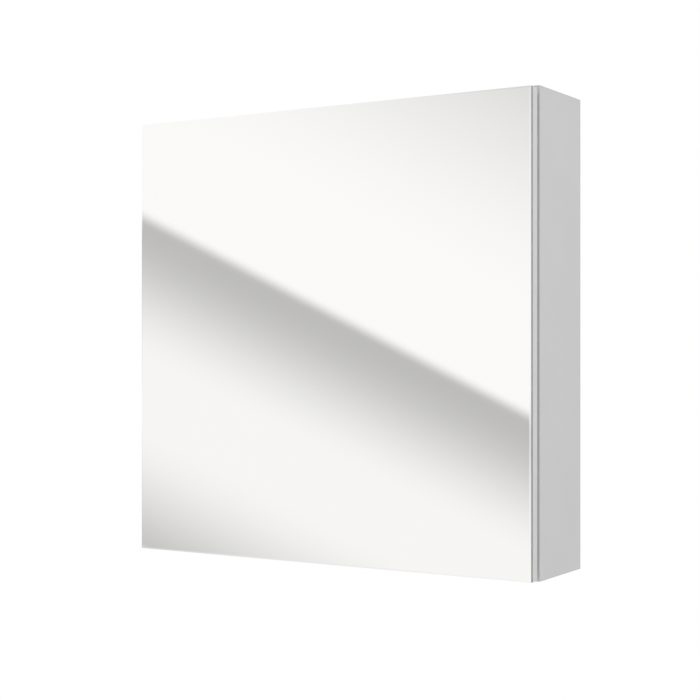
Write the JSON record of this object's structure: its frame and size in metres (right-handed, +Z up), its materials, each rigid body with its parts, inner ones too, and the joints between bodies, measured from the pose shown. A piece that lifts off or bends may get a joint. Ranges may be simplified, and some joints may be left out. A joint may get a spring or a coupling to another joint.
{
  "type": "bathroom mirror cabinet",
  "caption": "Square wall-hung bathroom mirror cabinet: light grey board carcass with glass shelves behind a frameless full-mirror door that swings on concealed hinges.",
  "frame": {"origin": "on the wall plane, midway between the entry holes of the two keyhole hanging plates", "axes": "+X to the right seen from the front, +Y from the room into the wall, +Z up"},
  "size_m": [0.6, 0.149, 0.6],
  "materials": {
    "carcass_board": "light grey melamine-coated board, satin",
    "edge_band": "light grey plastic edge band, satin",
    "door_board": "light grey melamine-coated board, satin",
    "back_board": "white-lacquered thin fibreboard, matt",
    "rail_board": "bare chipboard",
    "zinc_steel": "zinc-plated sheet steel",
    "hinge_nickel": "nickel-plated steel",
    "shelf_glass": "clear float glass with ground edges",
    "clear_pad": "clear soft plastic",
    "mirror": "silvered float glass with a polished edge facet",
    "foam_tape": "dark grey foam tape"
  },
  "bodies": {
    "carcass": {"left_side_panel": "carcass_board", "right_side_panel": "carcass_board", "top_panel": "carcass_board", "bottom_panel": "carcass_board", "carcass_edge_bands": "edge_band", "back_panel": "back_board", "hanging_rail": "rail_board", "lower_rail": "rail_board", "hanging_plates": "zinc_steel", "lower_glass_shelf": "shelf_glass", "upper_glass_shelf": "shelf_glass", "shelf_supports": "hinge_nickel", "shelf_support_pads": "clear_pad", "upper_hinge_arm": "hinge_nickel", "upper_mounting_plate": "hinge_nickel", "lower_hinge_arm": "hinge_nickel", "lower_mounting_plate": "hinge_nickel"},
    "upper_outer_link": {"upper_outer_link": "hinge_nickel"},
    "door": {"mirror_glass": "mirror", "mirror_tape": "foam_tape", "door_board": "door_board", "door_edge_bands": "edge_band", "door_bumpers": "clear_pad", "upper_hinge_cup": "hinge_nickel", "lower_hinge_cup": "hinge_nickel"},
    "upper_inner_link": {"upper_inner_link": "hinge_nickel"},
    "lower_outer_link": {"lower_outer_link": "hinge_nickel"},
    "lower_inner_link": {"lower_inner_link": "hinge_nickel"}
  },
  "joints": [
    {"name": "upper_outer_link_swing", "type": "hinge", "parent": "carcass", "child": "upper_outer_link", "pos_m": [-0.269, -0.1158, -0.04], "axis": [0, 0, 1], "range_deg": [0, 24.9]},
    {"name": "door_swing", "type": "hinge", "parent": "upper_outer_link", "child": "door", "pos_m": [-0.2896, -0.1321, -0.04], "axis": [0, 0, -1], "range_deg": [0, 116.84]},
    {"name": "upper_inner_link_swing", "type": "hinge", "parent": "carcass", "child": "upper_inner_link", "pos_m": [-0.2678, -0.136, -0.04], "axis": [0, 0, 1], "range_deg": [0, 20.3]},
    {"name": "lower_outer_link_swing", "type": "hinge", "parent": "carcass", "child": "lower_outer_link", "pos_m": [-0.269, -0.1158, -0.44], "axis": [0, 0, 1], "range_deg": [0, 24.9]},
    {"name": "lower_inner_link_swing", "type": "hinge", "parent": "carcass", "child": "lower_inner_link", "pos_m": [-0.2678, -0.136, -0.44], "axis": [0, 0, 1], "range_deg": [0, 20.3]}
  ],
  "couplings": [
    {"joint": "upper_outer_link_swing", "follows": "door_swing", "ratio": 0.2126},
    {"joint": "upper_inner_link_swing", "follows": "door_swing", "ratio": 0.17323},
    {"joint": "lower_outer_link_swing", "follows": "door_swing", "ratio": 0.2126},
    {"joint": "lower_inner_link_swing", "follows": "door_swing", "ratio": 0.17323}
  ]
}
